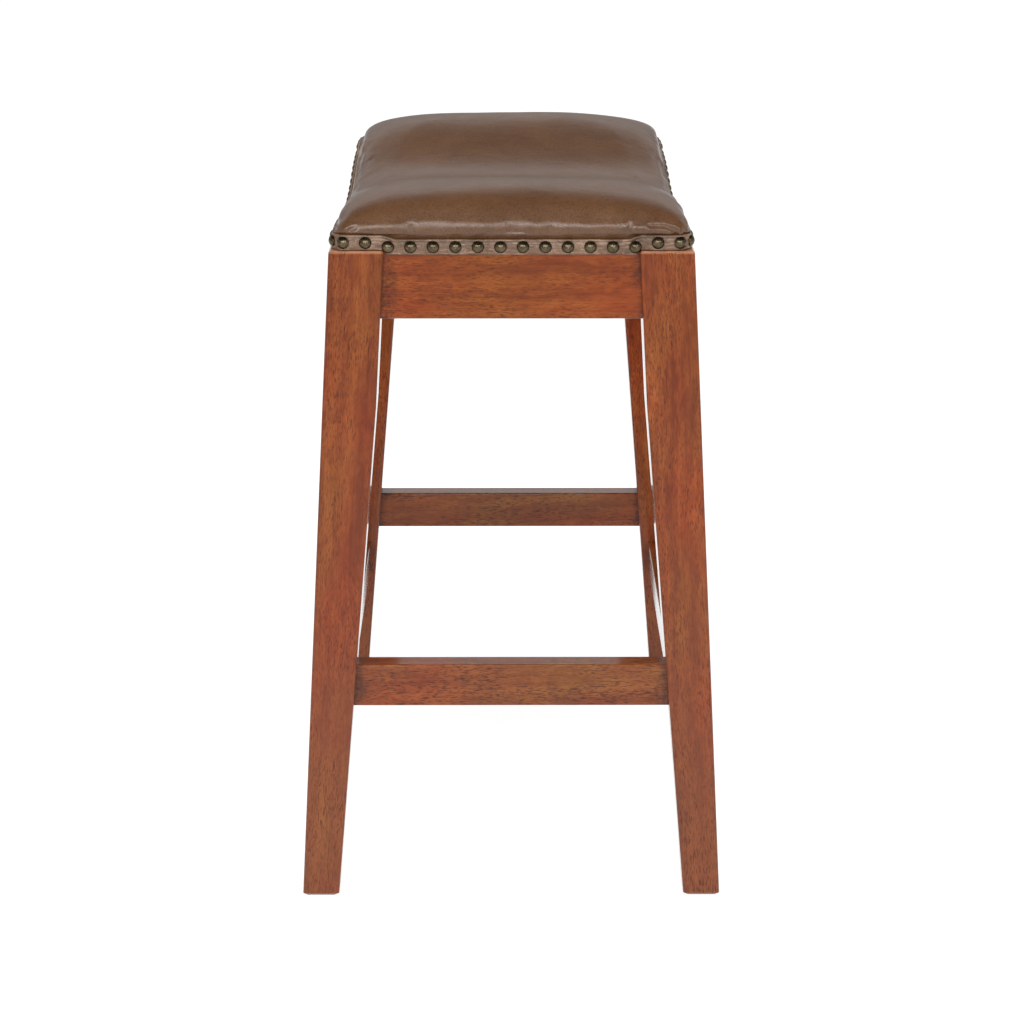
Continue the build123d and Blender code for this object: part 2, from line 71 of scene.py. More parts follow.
class Shader:
    def __init__(self, name):
        self.material = bpy.data.materials.new(name)
        self.material.use_nodes = True
        self.tree = self.material.node_tree
        self.surface = self.tree.nodes["Principled BSDF"]
        self.place = self.node("ShaderNodeTexCoord").outputs["Object"]

    def node(self, kind, inputs=None, **settings):
        made = self.tree.nodes.new(kind)
        for name, value in settings.items():
            setattr(made, name, value)
        for key, value in (inputs or {}).items():
            self.put(made.inputs[key], value)
        return made

    def put(self, socket, value):
        if isinstance(value, bpy.types.NodeSocket):
            self.tree.links.new(value, socket)
        else:
            socket.default_value = value

    def set(self, **values):
        for name, value in values.items():
            self.put(self.surface.inputs[name.replace("_", " ")], value)

    def mapped(self, vector, location=(0, 0, 0), rotation=(0, 0, 0), scale=(1, 1, 1)):
        inputs = {"Vector": vector, "Location": location, "Rotation": rotation, "Scale": scale}
        return self.node("ShaderNodeMapping", inputs).outputs[0]

    def noise(self, vector, scale, detail=3, roughness=0.5, distortion=0):
        inputs = {"Vector": vector, "Scale": scale, "Detail": detail, "Roughness": roughness,
                  "Distortion": distortion}
        return self.node("ShaderNodeTexNoise", inputs).outputs[0]

    def math(self, operation, a, b=0.0, clamp=False):
        return self.node("ShaderNodeMath", {0: a, 1: b}, operation=operation, use_clamp=clamp).outputs[0]

    def span(self, value, low, high, to_low=0.0, to_high=1.0, smooth=False):
        inputs = {"Value": value, "From Min": low, "From Max": high, "To Min": to_low, "To Max": to_high}
        kind = "SMOOTHSTEP" if smooth else "LINEAR"
        return self.node("ShaderNodeMapRange", inputs, interpolation_type=kind).outputs[0]

    def ramp(self, factor, *stops):
        made = self.node("ShaderNodeValToRGB", {"Fac": factor})
        elements = made.color_ramp.elements
        while len(elements) < len(stops):
            elements.new(0.5)
        for element, (place, colour) in zip(elements, stops):
            element.position = place
            element.color = colour
        return made.outputs[0]

    def mix(self, factor, a, b, blend="MIX"):
        made = self.node("ShaderNodeMix", data_type="RGBA", blend_type=blend)
        for index, value in ((0, factor), (6, a), (7, b)):
            self.put(made.inputs[index], value)
        return made.outputs[2]

    def bump(self, height, distance, strength=1.0, normal=None):
        inputs = {"Height": height, "Distance": distance, "Strength": strength}
        if normal is not None:
            inputs["Normal"] = normal
        return self.node("ShaderNodeBump", inputs).outputs[0]


def dress(material, *names):
    for name in names:
        data = nodes[name]
        for slot in data.material_slots:
            slot.link = "OBJECT"
            slot.material = material


# Where a leg's foot fades, from its top down, and where a painted highlight lightens its top edge, in metres.
fade_from, fade_to, highlight_from, highlight_to = 0.42, 0.05, 0.5706, 0.5720


# Stained wood: the grain runs along one line, with dashes for pores, streaks, soft bands and mottled stain.
# dark_ends: axis, distance of the piece's ends from the middle, depth of the zone of painted shade and dark
# stain. faded greys the foot and switches on the painted highlight along the top edge.
def stained_wood(name, along, side, seed, tone=0.0, flecks=1.0, dark_ends=None, faded=0.0, tint=None,
                 lacquer=1.26):
    s = Shader(name)
    along, side = Vector(along).normalized(), Vector(side)
    side = (side - along * side.dot(along)).normalized()
    turn = Matrix((along, side, along.cross(side))).to_euler("XYZ")
    place = s.mapped(s.place, (seed * 1.37, seed * 0.61, seed * 0.83), turn)
    sway = s.noise(s.mapped(place, scale=(0.4, 1, 1)), 11, 2)
    sway = s.node("ShaderNodeCombineXYZ", {
        "Y": s.math("MULTIPLY", sway, 0.016), "Z": s.math("MULTIPLY", sway, 0.010)}).outputs[0]
    place = s.node("ShaderNodeVectorMath", {0: place, 1: sway}, operation="ADD").outputs[0]
    streak = s.noise(s.mapped(place, scale=(0.035, 1, 1)), 380, 5, 0.7)
    pores = s.noise(s.mapped(place, scale=(0.17, 1, 1)), 1300, 1, 0.5)
    dashes = s.noise(s.mapped(place, scale=(0.13, 1, 1)), 960, 1, 0.5)
    mottle = s.noise(s.mapped(place, scale=(0.4, 1, 1)), 30, 3, 0.6)
    bands = s.noise(s.mapped(place, scale=(0.10, 1, 1)), 46, 2, 0.5)
    pith = s.mapped(place, (0, 0.04 + 0.02 * math.sin(seed), 0.06), (0, math.radians(2.2), math.radians(1.4)))
    rings = s.node("ShaderNodeTexWave", {
        "Vector": s.mapped(pith, scale=(0.4, 1, 1)), "Scale": 26.0, "Distortion": 6.0, "Detail": 2.0,
        "Detail Scale": 5.0}, wave_type="RINGS", rings_direction="X").outputs[1]
    open_zone = s.span(mottle, 0.36, 0.56, 0.3, 1.0)
    pore = s.math("MULTIPLY", s.span(pores, 0.54, 0.68), open_zone)
    dash = s.math("MULTIPLY", s.span(dashes, 0.57, 0.70), open_zone)
    blend = s.math("ADD", s.math("MULTIPLY", streak, 0.32), s.math("MULTIPLY", mottle, 0.28))
    blend = s.math("ADD", blend, s.math("MULTIPLY", bands, 0.32))
    blend = s.math("ADD", blend, s.math("MULTIPLY", rings, 0.08))
    blend = s.math("ADD", blend, tone)
    colour = s.ramp(
        blend, (0.36, rgb(112, 48, 20)), (0.45, rgb(130, 61, 26)), (0.55, rgb(146, 74, 32)),
        (0.66, rgb(164, 92, 43)))
    warmth = s.noise(s.mapped(place, (3, 5, 7), scale=(0.35, 1, 1)), 17, 2, 0.6)
    warmth = s.ramp(warmth, (0.36, (1.10, 0.84, 0.78, 1)), (0.5, (1, 1, 1, 1)), (0.64, (0.95, 1.12, 1.02, 1)))
    colour = s.mix(0.9, colour, warmth, "MULTIPLY")
    if tint:
        colour = s.mix(0.75, colour, tint, "MULTIPLY")
    if faded:
        height = s.node("ShaderNodeSeparateXYZ", {0: s.place}).outputs[2]
        grey = s.mix(0.5, colour, rgb(138, 88, 66))
        colour = s.mix(s.span(height, fade_from, fade_to, 0, faded, True), colour, grey)
        # Painted highlight: a pale line along the leg's top edge.
        colour = s.mix(s.span(height, highlight_from, highlight_to, 0, 0.5), colour, rgb(212, 158, 120))
    colour = s.mix(s.math("MULTIPLY", pore, 0.62 * flecks), colour, rgb(70, 28, 14))
    colour = s.mix(s.math("MULTIPLY", dash, 0.62 * flecks), colour, rgb(62, 25, 12))
    # Painted shade at the ends where the rails meet the legs, broken up by dark stain specks.
    if dark_ends:
        axis, reach, depth = dark_ends
        away = s.math("ABSOLUTE", s.node("ShaderNodeSeparateXYZ", {0: s.place}).outputs[axis])
        specks = s.span(s.noise(s.place, 260, 4, 0.7), 0.42, 0.60, 0.25, 1.0)
        ragged = s.math("ADD", away, s.math("MULTIPLY", s.math("SUBTRACT", mottle, 0.5), 0.045))
        shade_and_stain = s.math("MULTIPLY", s.span(ragged, reach - depth, reach, 0, 0.75, True), specks)
        colour = s.mix(shade_and_stain, colour, rgb(58, 30, 18))
    s.set(Base_Color=colour, Roughness=s.span(streak, 0.3, 0.7, 0.28, 0.40), Specular_IOR_Level=0.10,
          Coat_Weight=1.0, Coat_IOR=lacquer, Coat_Roughness=0.10, Normal=s.bump(dashes, 0.00012, 0.5))
    return s.material


lean = math.tan(math.radians(3.4))
dull, glowing = (0.86, 1.02, 1.15, 1), (1.0, 0.93, 0.70, 1)
apron_wood = {"tone": -0.005, "flecks": 1.0, "tint": glowing}
stretcher_wood = {"tone": 0.025, "flecks": 1.45, "tint": dull, "lacquer": 1.32}
# Depth of the painted shade and dark stain at the rails' ends, in metres.
shade_and_stain_depth = 0.012
seed = 0
for end, sign_y in (("front", -1), ("rear", 1)):
    for hand, sign_x in (("left", -1), ("right", 1)):
        seed += 1
        name = f"leg_{end}_{hand}"
        line = (-sign_x * lean, -sign_y * lean, 1)
        tone = -0.02 if name == "leg_rear_right" else 0.0
        dress(stained_wood("stain_" + name, line, (0, 1, 0), seed, tone, flecks=1.1, faded=0.7), name)

# One row for each pair of rails: name, sides, grain, axis, half length, middle seed, wood.
rails = (
    ("apron", ("left", "right"), (0, 1, 0), 1, 0.107, 7, apron_wood),
    ("stretcher", ("left", "right"), (0, 1, 0), 1, 0.136, 11, stretcher_wood),
    ("apron", ("front", "rear"), (1, 0, 0), 0, 0.182, 15, apron_wood),
    ("stretcher", ("front", "rear"), (1, 0, 0), 0, 0.212, 19, stretcher_wood),
)
for kind, sides, grain, axis, half_length, middle, wood in rails:
    for sign, side in zip((-1, 1), sides):
        name = f"{kind}_{side}"
        stain = stained_wood("stain_" + name, grain, (0, 0, 1), middle + sign,
                             dark_ends=(axis, half_length, shade_and_stain_depth), **wood)
        dress(stain, name)


# Bare wood: pale, with a streaky grain along one line.
def bare_wood(name, along, side, seed):
    s = Shader(name)
    along, side = Vector(along).normalized(), Vector(side).normalized()
    turn = Matrix((along, side, along.cross(side))).to_euler("XYZ")
    place = s.mapped(s.place, (seed, seed, 0), turn)
    streak = s.noise(s.mapped(place, scale=(0.05, 1, 1)), 220, 5, 0.6)
    mottle = s.noise(place, 30, 3)
    blend = s.math("ADD", s.math("MULTIPLY", streak, 0.7), s.math("MULTIPLY", mottle, 0.3))
    colour = s.ramp(blend, (0.32, rgb(176, 138, 96)), (0.52, rgb(205, 172, 128)), (0.7, rgb(222, 194, 152)))
    s.set(Base_Color=colour, Roughness=s.span(streak, 0.3, 0.7, 0.62, 0.78),
          Normal=s.bump(streak, 0.0002, 0.5))
    return s.material


diagonal = {
    "front_left": (1, -1, 0), "front_right": (1, 1, 0), "rear_left": (1, 1, 0), "rear_right": (1, -1, 0)}
for corner, line in diagonal.items():
    dress(bare_wood("wood_brace_" + corner, line, (0, 0, 1), len(corner)), "corner_brace_" + corner)
dress(bare_wood("wood_dowels", (0, 1, 0), (0, 0, 1), 3),
      "apron_dowels", "side_stretcher_dowels", "end_stretcher_dowels")
dress(bare_wood("wood_board", (1, 0, 0), (0, 1, 0), 5), "seat_board")


# Metal: clouded between a dull and a bright colour, and between a low and a high roughness.
def metal(name, dull, bright, low, high, grain):
    s = Shader(name)
    cloud = s.noise(s.place, grain, 4, 0.6)
    spots = s.noise(s.place, grain * 6, 2, 0.5)
    colour = s.ramp(cloud, (0.35, dull), (0.65, bright))
    s.set(Base_Color=colour, Metallic=1.0, Roughness=s.span(cloud, 0.3, 0.7, low, high),
          Normal=s.bump(spots, 0.00004, 0.4))
    return s.material


brass = metal("antique_brass", rgb(72, 63, 48), rgb(102, 90, 70), low=0.22, high=0.34, grain=260)
dress(brass, "nails_front", "nails_rear", "nails_left", "nails_right")
zinc = metal("zinc_screw", rgb(150, 146, 134), rgb(196, 192, 180), low=0.25, high=0.42, grain=300)
dress(zinc, "brace_screws", "leg_screws", "seat_screws")
wire = metal("staple_wire", rgb(150, 150, 150), rgb(205, 205, 205), low=0.22, high=0.36, grain=300)
dress(wire, "cover_staples")


# Leather: a fine pebbled grain, soft clouding and creases; low and high roughness; drawn adds pull lines to
# the relief, with painted highlights on them and painted shade between them.
def leather(name, dark, middle, light, low, high, drawn=0.0):
    s = Shader(name)
    cloud = s.noise(s.place, 16, 4, 0.6)
    patch = s.noise(s.place, 70, 3, 0.6)
    bent = s.node("ShaderNodeVectorMath", {
        0: s.place, 1: s.node("ShaderNodeVectorMath", {
            0: s.node("ShaderNodeTexNoise", {"Vector": s.place, "Scale": 260.0, "Detail": 2.0}).outputs[1],
            1: (0.0022, 0.0022, 0.0022)}, operation="MULTIPLY").outputs[0]}, operation="ADD").outputs[0]
    cells = s.node("ShaderNodeTexVoronoi", {"Vector": bent, "Scale": 760.0}, feature="F1").outputs[0]
    pebble = s.math("SUBTRACT", 1.0, s.math("MULTIPLY", cells, 1.2, True))
    blend = s.math("ADD", s.math("MULTIPLY", cloud, 0.6), s.math("MULTIPLY", patch, 0.4))
    colour = s.ramp(blend, (0.36, dark), (0.50, middle), (0.66, light))
    colour = s.mix(s.span(pebble, 0.1, 0.5, 0.35, 0), colour, dark, "MULTIPLY")
    crease = s.noise(s.mapped(s.place, scale=(1, 0.6, 1)), 62, 5, 0.6, 0.4)
    relief = s.bump(crease, 0.0009, 0.35)
    if drawn:
        pulled = s.noise(s.mapped(s.place, scale=(0.13, 0.13, 1)), 620, 2, 0.6)
        ribbed = s.noise(s.mapped(s.place, scale=(1, 1, 0.2)), 700, 1, 0.5)
        # Painted highlights on the raised pull lines and painted shade in the low ones.
        colour = s.mix(s.span(pulled, 0.56, 0.68, 0, drawn), colour, light)
        colour = s.mix(s.span(pulled, 0.44, 0.32, 0, drawn), colour, dark)
        relief = s.bump(ribbed, 0.0003, 0.5, s.bump(pulled, 0.0005, 0.6, relief))
    s.set(Base_Color=colour, Roughness=s.span(patch, 0.3, 0.7, low, high), Specular_IOR_Level=0.5,
          Normal=s.bump(pebble, 0.0001, 0.5, relief))
    return s.material


seat_leather = leather("seat_leather", rgb(94, 62, 38), rgb(101, 68, 42), rgb(109, 74, 47),
                       low=0.28, high=0.34)
strip_leather = leather("strip_leather", rgb(90, 64, 46), rgb(122, 93, 71), rgb(168, 138, 114),
                        low=0.34, high=0.46, drawn=0.8)


# The box of a CAD piece in millimetres, to a tenth: its lowest and its highest corner.
def box(name):
    low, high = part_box(name)
    return [round(value * 1000, 1) for value in low], [round(value * 1000, 1) for value in high]


# Sizes of the CAD's seat in millimetres: the frame under it, its board and its trim band.
saddle_reach, saddle_dip = 180.0, 15.0
leg_height = box("leg_front_left")[1][2]
board_low, board_top = (corner[2] for corner in box("seat_board"))
board_bottom = board_low + saddle_dip
face_x, face_y = box("trim_band")[1][:2]
face_corner, band_setback, band_height = 12.0, 2.7, 12.8
half_x, half_y = face_x + band_setback, face_y + band_setback
apron_drop, apron_end_x, apron_end_y, leg_zone = 3.5, 180.0, 105.0, 22.5

# Sizes of the leather: a little higher, longer and fuller than the CAD's cover.
leather_rise = 1.6
seat_height = box("seat_cover")[1][2] + leather_rise
crest_x, valley_dip, widest_rise, end_bulge = 165.0, 24.1, 3.0, 3.0
end_power, side_power = 2.6, 2.9
reach_x, reach_y, reach_corner, tuck_in = 221.7, 147.0, 10.5, 1.2
front_lean, rear_lean, lean_taper = 2.6, 0.9, 1.4
tongue_x, tongue_y, tongue_z, tongue_lift = 205, 115, 592, 1.3


def saddle_drop(x):
    half = saddle_reach / 2
    radius = (half ** 2 + (saddle_dip / 2) ** 2) / saddle_dip
    away = abs(x)
    if away >= saddle_reach:
        return 0
    if away >= half:
        return radius - math.sqrt(radius ** 2 - (saddle_reach - away) ** 2)
    return saddle_dip - radius + math.sqrt(radius ** 2 - away ** 2)


def rolled(share, power):
    return max(1 - abs(share) ** power, 0) ** (1 / power)


def eased(value, low, high):
    share = np.clip((value - low) / (high - low), 0, 1)
    return share * share * (3 - 2 * share)


def resampled(points, keys, step):
    run = [0.0]
    for a, b in zip(points, points[1:]):
        run.append(run[-1] + math.dist(a, b))
    count = round(run[-1] / step)
    at = np.linspace(0, run[-1], count + 1)
    return [tuple(np.interp(t, run, [key[i] for key in keys]) for i in range(len(keys[0]))) for t in at]


def length_height(share, across):
    if across:
        widest = board_top + widest_rise
        return widest + (seat_height - widest) * rolled(across, end_power)
    return seat_height - valley_dip * (1 + math.cos(math.pi * share)) / 2


def end_reach(y):
    past = max(abs(y) - reach_y + reach_corner, 0)
    return reach_x - reach_corner + math.sqrt(max(reach_corner ** 2 - past ** 2, 0))


# The long sides lean in a little over the band, the front one more than the rear one.
def lean_in(x, y):
    inset = (front_lean if y < 0 else rear_lean) + lean_taper * (0.5 - x / (2 * reach_x))
    return y * (1 - inset / reach_y)


# The trim band lies lower over the aprons than over the legs; the step is just inside the legs.
def band_step(x, y, height=1.0):
    away, line = (abs(y), apron_end_y) if abs(x) > half_x - leg_zone else (abs(x), apron_end_x)
    return float(eased(line + 2 * height - away, 0, 3 + 11 * height)), line


# A point of the leather: share along the saddle, across the rolled end, y, and fall below the widest line.
def cushion_point(share, across, y, fall=0.0):
    crown = rolled(y / reach_y, side_power)
    x = crest_x * share + (end_reach(y) - crest_x) * across
    widest = board_top - saddle_drop(x) + widest_rise
    drawn = (1 + math.cos(math.pi * min(fall / widest_rise, 1))) / 2
    tuck = 1 - tuck_in * (1 - drawn) / reach_x, 1 - tuck_in * (1 - drawn) / reach_y
    bulge = end_bulge * across * math.sqrt(max(crown, 0.35)) * drawn
    z = widest + (length_height(share, across) - widest) * crown
    z -= fall * (1 + apron_drop / widest_rise * band_step(x, y)[0])
    return Vector((x * tuck[0] + bulge, (y + (lean_in(x, y) - y) * drawn) * tuck[1], z))


def length_keys(step):
    keys = [(-1.0, -math.sin(math.pi / 2 * k / 60) ** (2 / end_power)) for k in range(60, 0, -1)]
    keys += [(k / 120, 0.0) for k in range(-120, 121)]
    keys += [(1.0, math.sin(math.pi / 2 * k / 60) ** (2 / end_power)) for k in range(1, 61)]
    points = [tuple(cushion_point(share, across, 0)) for share, across in keys]
    return resampled(points, keys, step)


def width_keys(step):
    shares = [math.sin(math.pi / 2 * k / 80) ** (2 / side_power) for k in range(81)]
    keys = [(-reach_y * share,) for share in shares[:0:-1]] + [(reach_y * share,) for share in shares]
    points = [tuple(cushion_point(1, 0, key[0])) for key in keys]
    return [key[0] for key in resampled(points, keys, step)]


def new_object(name, points, faces, material):
    data = bpy.data.meshes.new(name)
    data.from_pydata([tuple(Vector(p) * 0.001) for p in points], [], faces)
    data.validate()
    data.polygons.foreach_set("use_smooth", [True] * len(data.polygons))
    data.materials.append(material)
    made = bpy.data.objects.new(name, data)
    scene.collection.objects.link(made)
    return made


# Cushion: one closed form: the crown, the fall over the board's edge, the fold under it and the inner wall.
def build_cushion(step):
    lengths, widths = length_keys(step), width_keys(step)
    keys = [(share, across, y) for share, across in lengths for y in widths]
    points = [cushion_point(*key) for key in keys]
    columns, rows = len(widths), len(lengths)
    faces = [(i * columns + j, (i + 1) * columns + j, (i + 1) * columns + j + 1, i * columns + j + 1)
             for i in range(rows - 1) for j in range(columns - 1)]
    last = (rows - 1) * columns
    edge = list(range(columns)) + [i * columns + columns - 1 for i in range(1, rows)]
    edge += [last + j for j in range(columns - 2, -1, -1)] + [i * columns for i in range(rows - 2, 0, -1)]
    ring, count = edge, len(edge)

    def add_ring(made):
        nonlocal ring
        new = list(range(len(points), len(points) + count))
        points.extend(made)
        for k in range(count):
            n = (k + 1) % count
            faces.append((ring[k], ring[n], new[n], new[k]))
        ring = new

    def level(inset, z):
        made = []
        for k in edge:
            share, across, y = keys[k]
            x = crest_x * share + (end_reach(y) - crest_x) * across
            made.append(Vector((x * (1 - inset / reach_x), y * (1 - inset / reach_y), z - saddle_drop(x))))
        return made

    for fall in (1.0, 2.0, widest_rise):
        add_ring([cushion_point(*keys[k], fall) for k in edge])
    outside = ((tuck_in, 581.5), (tuck_in, 578), (tuck_in, 574.4), (2.0, leg_height), (12, leg_height),
               (23, leg_height), (33.4, leg_height))
    under, over = board_bottom - 0.05, board_top + 0.1
    inside = ((33.6, under), (2.05, under), (2.05, over), (40, over))
    for inset, z in outside + inside:
        add_ring(level(inset, z))
    faces.append(tuple(ring[::-1]))
    return points, faces, rows * columns


def coordinates(data, kind="co"):
    values = np.empty(len(data.vertices) * 3)
    data.vertices.foreach_get(kind, values)
    return values.reshape(-1, 3)


def keep(obj, values):
    obj.data.vertices.foreach_set("co", values.ravel())
    obj.data.update()


# The pad swells under its leather, held along the board; how far a point may move is capped.
def puff(obj, free, pressure, frames, start_in, cap):
    rest = coordinates(obj.data)
    loose = np.arange(len(rest)) < free
    keep(obj, rest - coordinates(obj.data, "normal") * start_in * loose[:, None])
    pins = obj.vertex_groups.new(name="held")
    pins.add([int(k) for k in np.flatnonzero(~loose)], 1.0, "REPLACE")
    cloth = obj.modifiers.new("Cloth", "CLOTH")
    cloth.settings.quality = 6
    cloth.settings.mass = 0.25
    cloth.settings.tension_stiffness = 25
    cloth.settings.compression_stiffness = 25
    cloth.settings.shear_stiffness = 10
    cloth.settings.bending_stiffness = 1.0
    cloth.settings.use_pressure = True
    cloth.settings.uniform_pressure_force = pressure
    cloth.settings.vertex_group_mass = "held"
    cloth.settings.effector_weights.gravity = 0
    cloth.collision_settings.use_collision = False
    for step in range(1, frames + 1):
        scene.frame_set(step)
    shift = coordinates(obj.evaluated_get(bpy.context.evaluated_depsgraph_get()).data) - coordinates(obj.data)
    obj.modifiers.remove(cloth)
    scene.frame_set(1)
    far = np.linalg.norm(shift, axis=1, keepdims=True)
    keep(obj, coordinates(obj.data) + shift * np.minimum(1, cap / np.maximum(far, 1e-9)))


def subdivided(obj, levels):
    smooth = obj.modifiers.new("Subdivision", "SUBSURF")
    smooth.levels = smooth.render_levels = levels
    data = bpy.data.meshes.new_from_object(obj.evaluated_get(bpy.context.evaluated_depsgraph_get()))
    obj.modifiers.clear()
    obj.data = data


# Creases on the rolled ends and along the sides: (places, depth, width, lip), with cushion_point's places.
def end_crease(end, *places):
    return [cushion_point(end, end * across, y, 0.6 * fall) for across, y, fall in places]


creases = [
    (end_crease(1, (0.985, 97.5, 0), (1, 96, 0), (1, 95, 4.9)), 1.4, 1.7, 0.35),
    (end_crease(1, (0.992, 113, 0), (0.990, 124, 0), (0.997, 131, 0), (1, 134.5, 0.6), (1, 134.8, 3),
                (1, 131, 4.9)), 2.0, 1.5, 0.7),
    (end_crease(1, (0.96, 138, 0), (0.992, 141, 0), (1, 142, 3)), 1.0, 1.4, 0.4),
    (end_crease(1, (0.992, -130, 0), (1, -137, 1.5), (1, -138, 4.5)), 0.8, 1.7, 0.2),
    (end_crease(1, (0.995, -84, 0), (1, -82.5, 4)), 0.7, 2.4, 0.2),
    (end_crease(-1, (0.988, -101, 0), (1, -99, 0), (1, -98, 4.9)), 1.6, 1.6, 0.5),
    (end_crease(-1, (0.992, -118, 0), (0.994, -129, 0), (1, -135, 1), (1, -134, 4.5)), 1.8, 1.6, 0.6),
    (end_crease(-1, (0.990, 126, 0), (1, 134, 1), (1, 135, 4.5)), 1.7, 1.6, 0.6),
    (end_crease(-1, (0.990, 88, 0), (1, 87, 4.5)), 1.0, 2.0, 0.3),
]
side_creases = [(0.93, 0.05, 0.6), (0.72, 0.07, 0.35), (-0.55, -0.06, 0.4), (-0.88, -0.05, 0.6)]
for side in (-1, 1):
    for share, slant, depth in side_creases + [(0.2 * side, 0.05, 0.3)]:
        creases.append(([cushion_point(share - slant, 0, side * 139), cushion_point(share, 0, side * 144.8),
                         cushion_point(share + 0.005, 0, side * reach_y, 2.7)], depth, 2.4, 0.15))


def away_from(line, points):
    best = np.full(len(points), np.inf)
    for a, b in zip(line, line[1:]):
        a, b = np.array(a), np.array(b)
        share = np.clip((points - a) @ (b - a) / ((b - a) @ (b - a)), 0, 1)
        best = np.minimum(best, np.linalg.norm(points - a - share[:, None] * (b - a), axis=1))
    return best


# Work on the leather: puffs along the rolled edge, drag lines, a wave along the crests, the tongue fold and
# the creases.
def work_leather(obj):
    points, normals = coordinates(obj.data) * 1000, coordinates(obj.data, "normal")
    drops = np.array([saddle_drop(x) for x in points[:, 0]])
    height = points[:, 2] - (board_top - drops)
    free = eased(height, 0.2, 2.2)
    rim = np.exp(-((height - 7) / 9) ** 2) * eased(normals[:, 2], 0.99, 0.80)
    wide, puffs, drag, crest = [], [], [], []
    for x, y, z in points:
        wide.append(noise.noise(Vector((x / 85, y / 70, 1.3))))
        puffs.append(noise.noise(Vector((x / 30, y / 30, 7.1)))
                     + 0.5 * noise.noise(Vector((x / 13, y / 13, 2.9))))
        drag.append(noise.noise(Vector((x / 9, y / 38, z / 14))) if abs(y) * reach_x > abs(x) * reach_y
                    else noise.noise(Vector((x / 38, y / 9, z / 14))))
        crest.append(noise.noise(Vector((x / 60, y / 26, 4.4))))
    lift = 0.7 * np.array(wide) + 1.7 * np.array(puffs) * rim + 0.35 * np.array(drag) * rim
    lift += 0.55 * np.array(crest) * np.exp(-((np.abs(points[:, 0]) - crest_x) / 28) ** 2)
    tongue = cushion_point(1, 1, tongue_y)
    on_tongue = np.exp(-((points[:, 1] - tongue.y) / 15) ** 2 - ((points[:, 2] - tongue_z) / 5) ** 2)
    lift += tongue_lift * on_tongue * (points[:, 0] > tongue_x)
    for line, depth, width, lip in creases:
        near = away_from(line, points)
        raised = lip * np.exp(-((near - 2.3 * width) / (1.2 * width)) ** 2)
        lift += raised - depth * np.exp(-((near / width) ** 2))
    keep(obj, (points + normals * (lift * free)[:, None]) * 0.001)


points, faces, free = build_cushion(step=5.0)
cushion = new_object("leather_cushion", points, faces, seat_leather)
puff(cushion, free, pressure=4.0, frames=20, start_in=0.0012, cap=0.0026)
subdivided(cushion, levels=2)
work_leather(cushion)
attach(cushion, "root")
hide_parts("seat_cover", "foam_pad")


# Trim band: a folded strip nailed round the edge, beaded at its top, puffed and pulled between the nails.
band_low = leg_height + 0.3
nail_margin, nail_height, halo_radius, puff_from, puff_to = 11.9, 6.4, 6.4, 4.5, 8.0


def outline_place(run):
    side_x, side_y, arc = 2 * (face_x - face_corner), 2 * (face_y - face_corner), math.pi / 2 * face_corner
    for quarter, length in enumerate((side_y, side_x, side_y, side_x)):
        turn = math.pi / 2 * quarter
        out, along = Vector((math.cos(turn), math.sin(turn), 0)), Vector((-math.sin(turn), math.cos(turn), 0))
        depth = face_y if quarter % 2 else face_x
        if run <= length:
            return out * depth + along * (run - length / 2), out
        run -= length
        if run <= arc:
            normal = out * math.cos(run / face_corner) + along * math.sin(run / face_corner)
            return out * (depth - face_corner) + along * (length / 2) + normal * face_corner, normal
        run -= arc
    return out * depth + along * (length / 2), out


def band_drop(point, height):
    share, line = band_step(point.x, point.y, height)
    return share * (apron_drop + (saddle_drop(point.x) if line == apron_end_x else 0))


def nail_row(half_length, count):
    return [(half_length - nail_margin) * (2 * k / (count - 1) - 1) for k in range(count)]


nail_spots = [(end * face_x, y) for end in (1, -1) for y in nail_row(half_y, 16)]
nail_spots += [(x, side * face_y) for side in (1, -1) for x in nail_row(half_x, 24)]
# The band's section as (height, lift) pairs: its face from the foot up, then its back.
front = [(0.0, -0.55), (0.25, -0.12), (0.8, 0.02)]
front += [(z, 0.05) for z in (2, 3, 4, 4.8, 5.6, 6.4, 7.2, 8, 8.8)]
front += [(9.5, -0.02), (10.1, -0.42), (10.6, -0.12), (11.1, 0.28)]
front += [(11.7, 0.4), (12.3, 0.2), (12.7, -0.2), (12.8, -0.6)]
back = [(12.8, -1.0), (12.5, -1.4), (8, -1.42), (4, -1.42), (0.2, -1.4), (0.0, -1.0)]


def build_band(count):
    total = 4 * (face_x + face_y - 2 * face_corner) + 2 * math.pi * face_corner
    points, faces, size = [], [], len(front) + len(back)
    for i in range(count):
        spot, out = outline_place(total * i / count)
        gap = min(math.hypot(spot.x - x, spot.y - y) for x, y in nail_spots)
        between = float(eased(gap, puff_from, puff_to))
        pleat = 0.5 * noise.noise(Vector((i * 0.42, 3.7, 0))) + 0.3 * noise.noise(Vector((i * 1.1, 9.1, 0)))
        slack = noise.noise(Vector((i * 0.05, 1.1, 5.0)))
        for k, (height, lift) in enumerate(front + back):
            drop = band_drop(spot, height / band_height)
            if k < len(front):
                from_nail = math.hypot(gap, height - nail_height)
                halo = math.exp(-((from_nail - halo_radius) / 1.1) ** 2)
                flat = math.sin(math.pi * min(max(height / 9.6, 0), 1))
                pulled = math.exp(-(((height - 6.6 - slack) / 0.55) ** 2))
                pulled += 0.7 * math.exp(-(((height - 8.6) / 0.45) ** 2))
                lift += between * (0.5 * pleat * flat + 0.34 * pulled) + 0.2 * halo - 0.2 * (from_nail < 5)
                lift += 0.12 * slack * flat
            points.append(spot + out * lift + Vector((0, 0, band_low + height - drop)))
        n = ((i + 1) % count) * size
        faces += [(i * size + k, n + k, n + (k + 1) % size, i * size + (k + 1) % size) for k in range(size)]
    return points, faces


band = new_object("leather_band", *build_band(count=1760), strip_leather)
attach(band, "root")
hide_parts("trim_band")


# Dust cover: black cloth stapled under the board, drawn slightly into waves between its staples.
# Its corners are cut off where x and y together pass dust_corner.
dust_x, dust_y, dust_top = box("dust_cover")[1]
dust_corner = 251.58


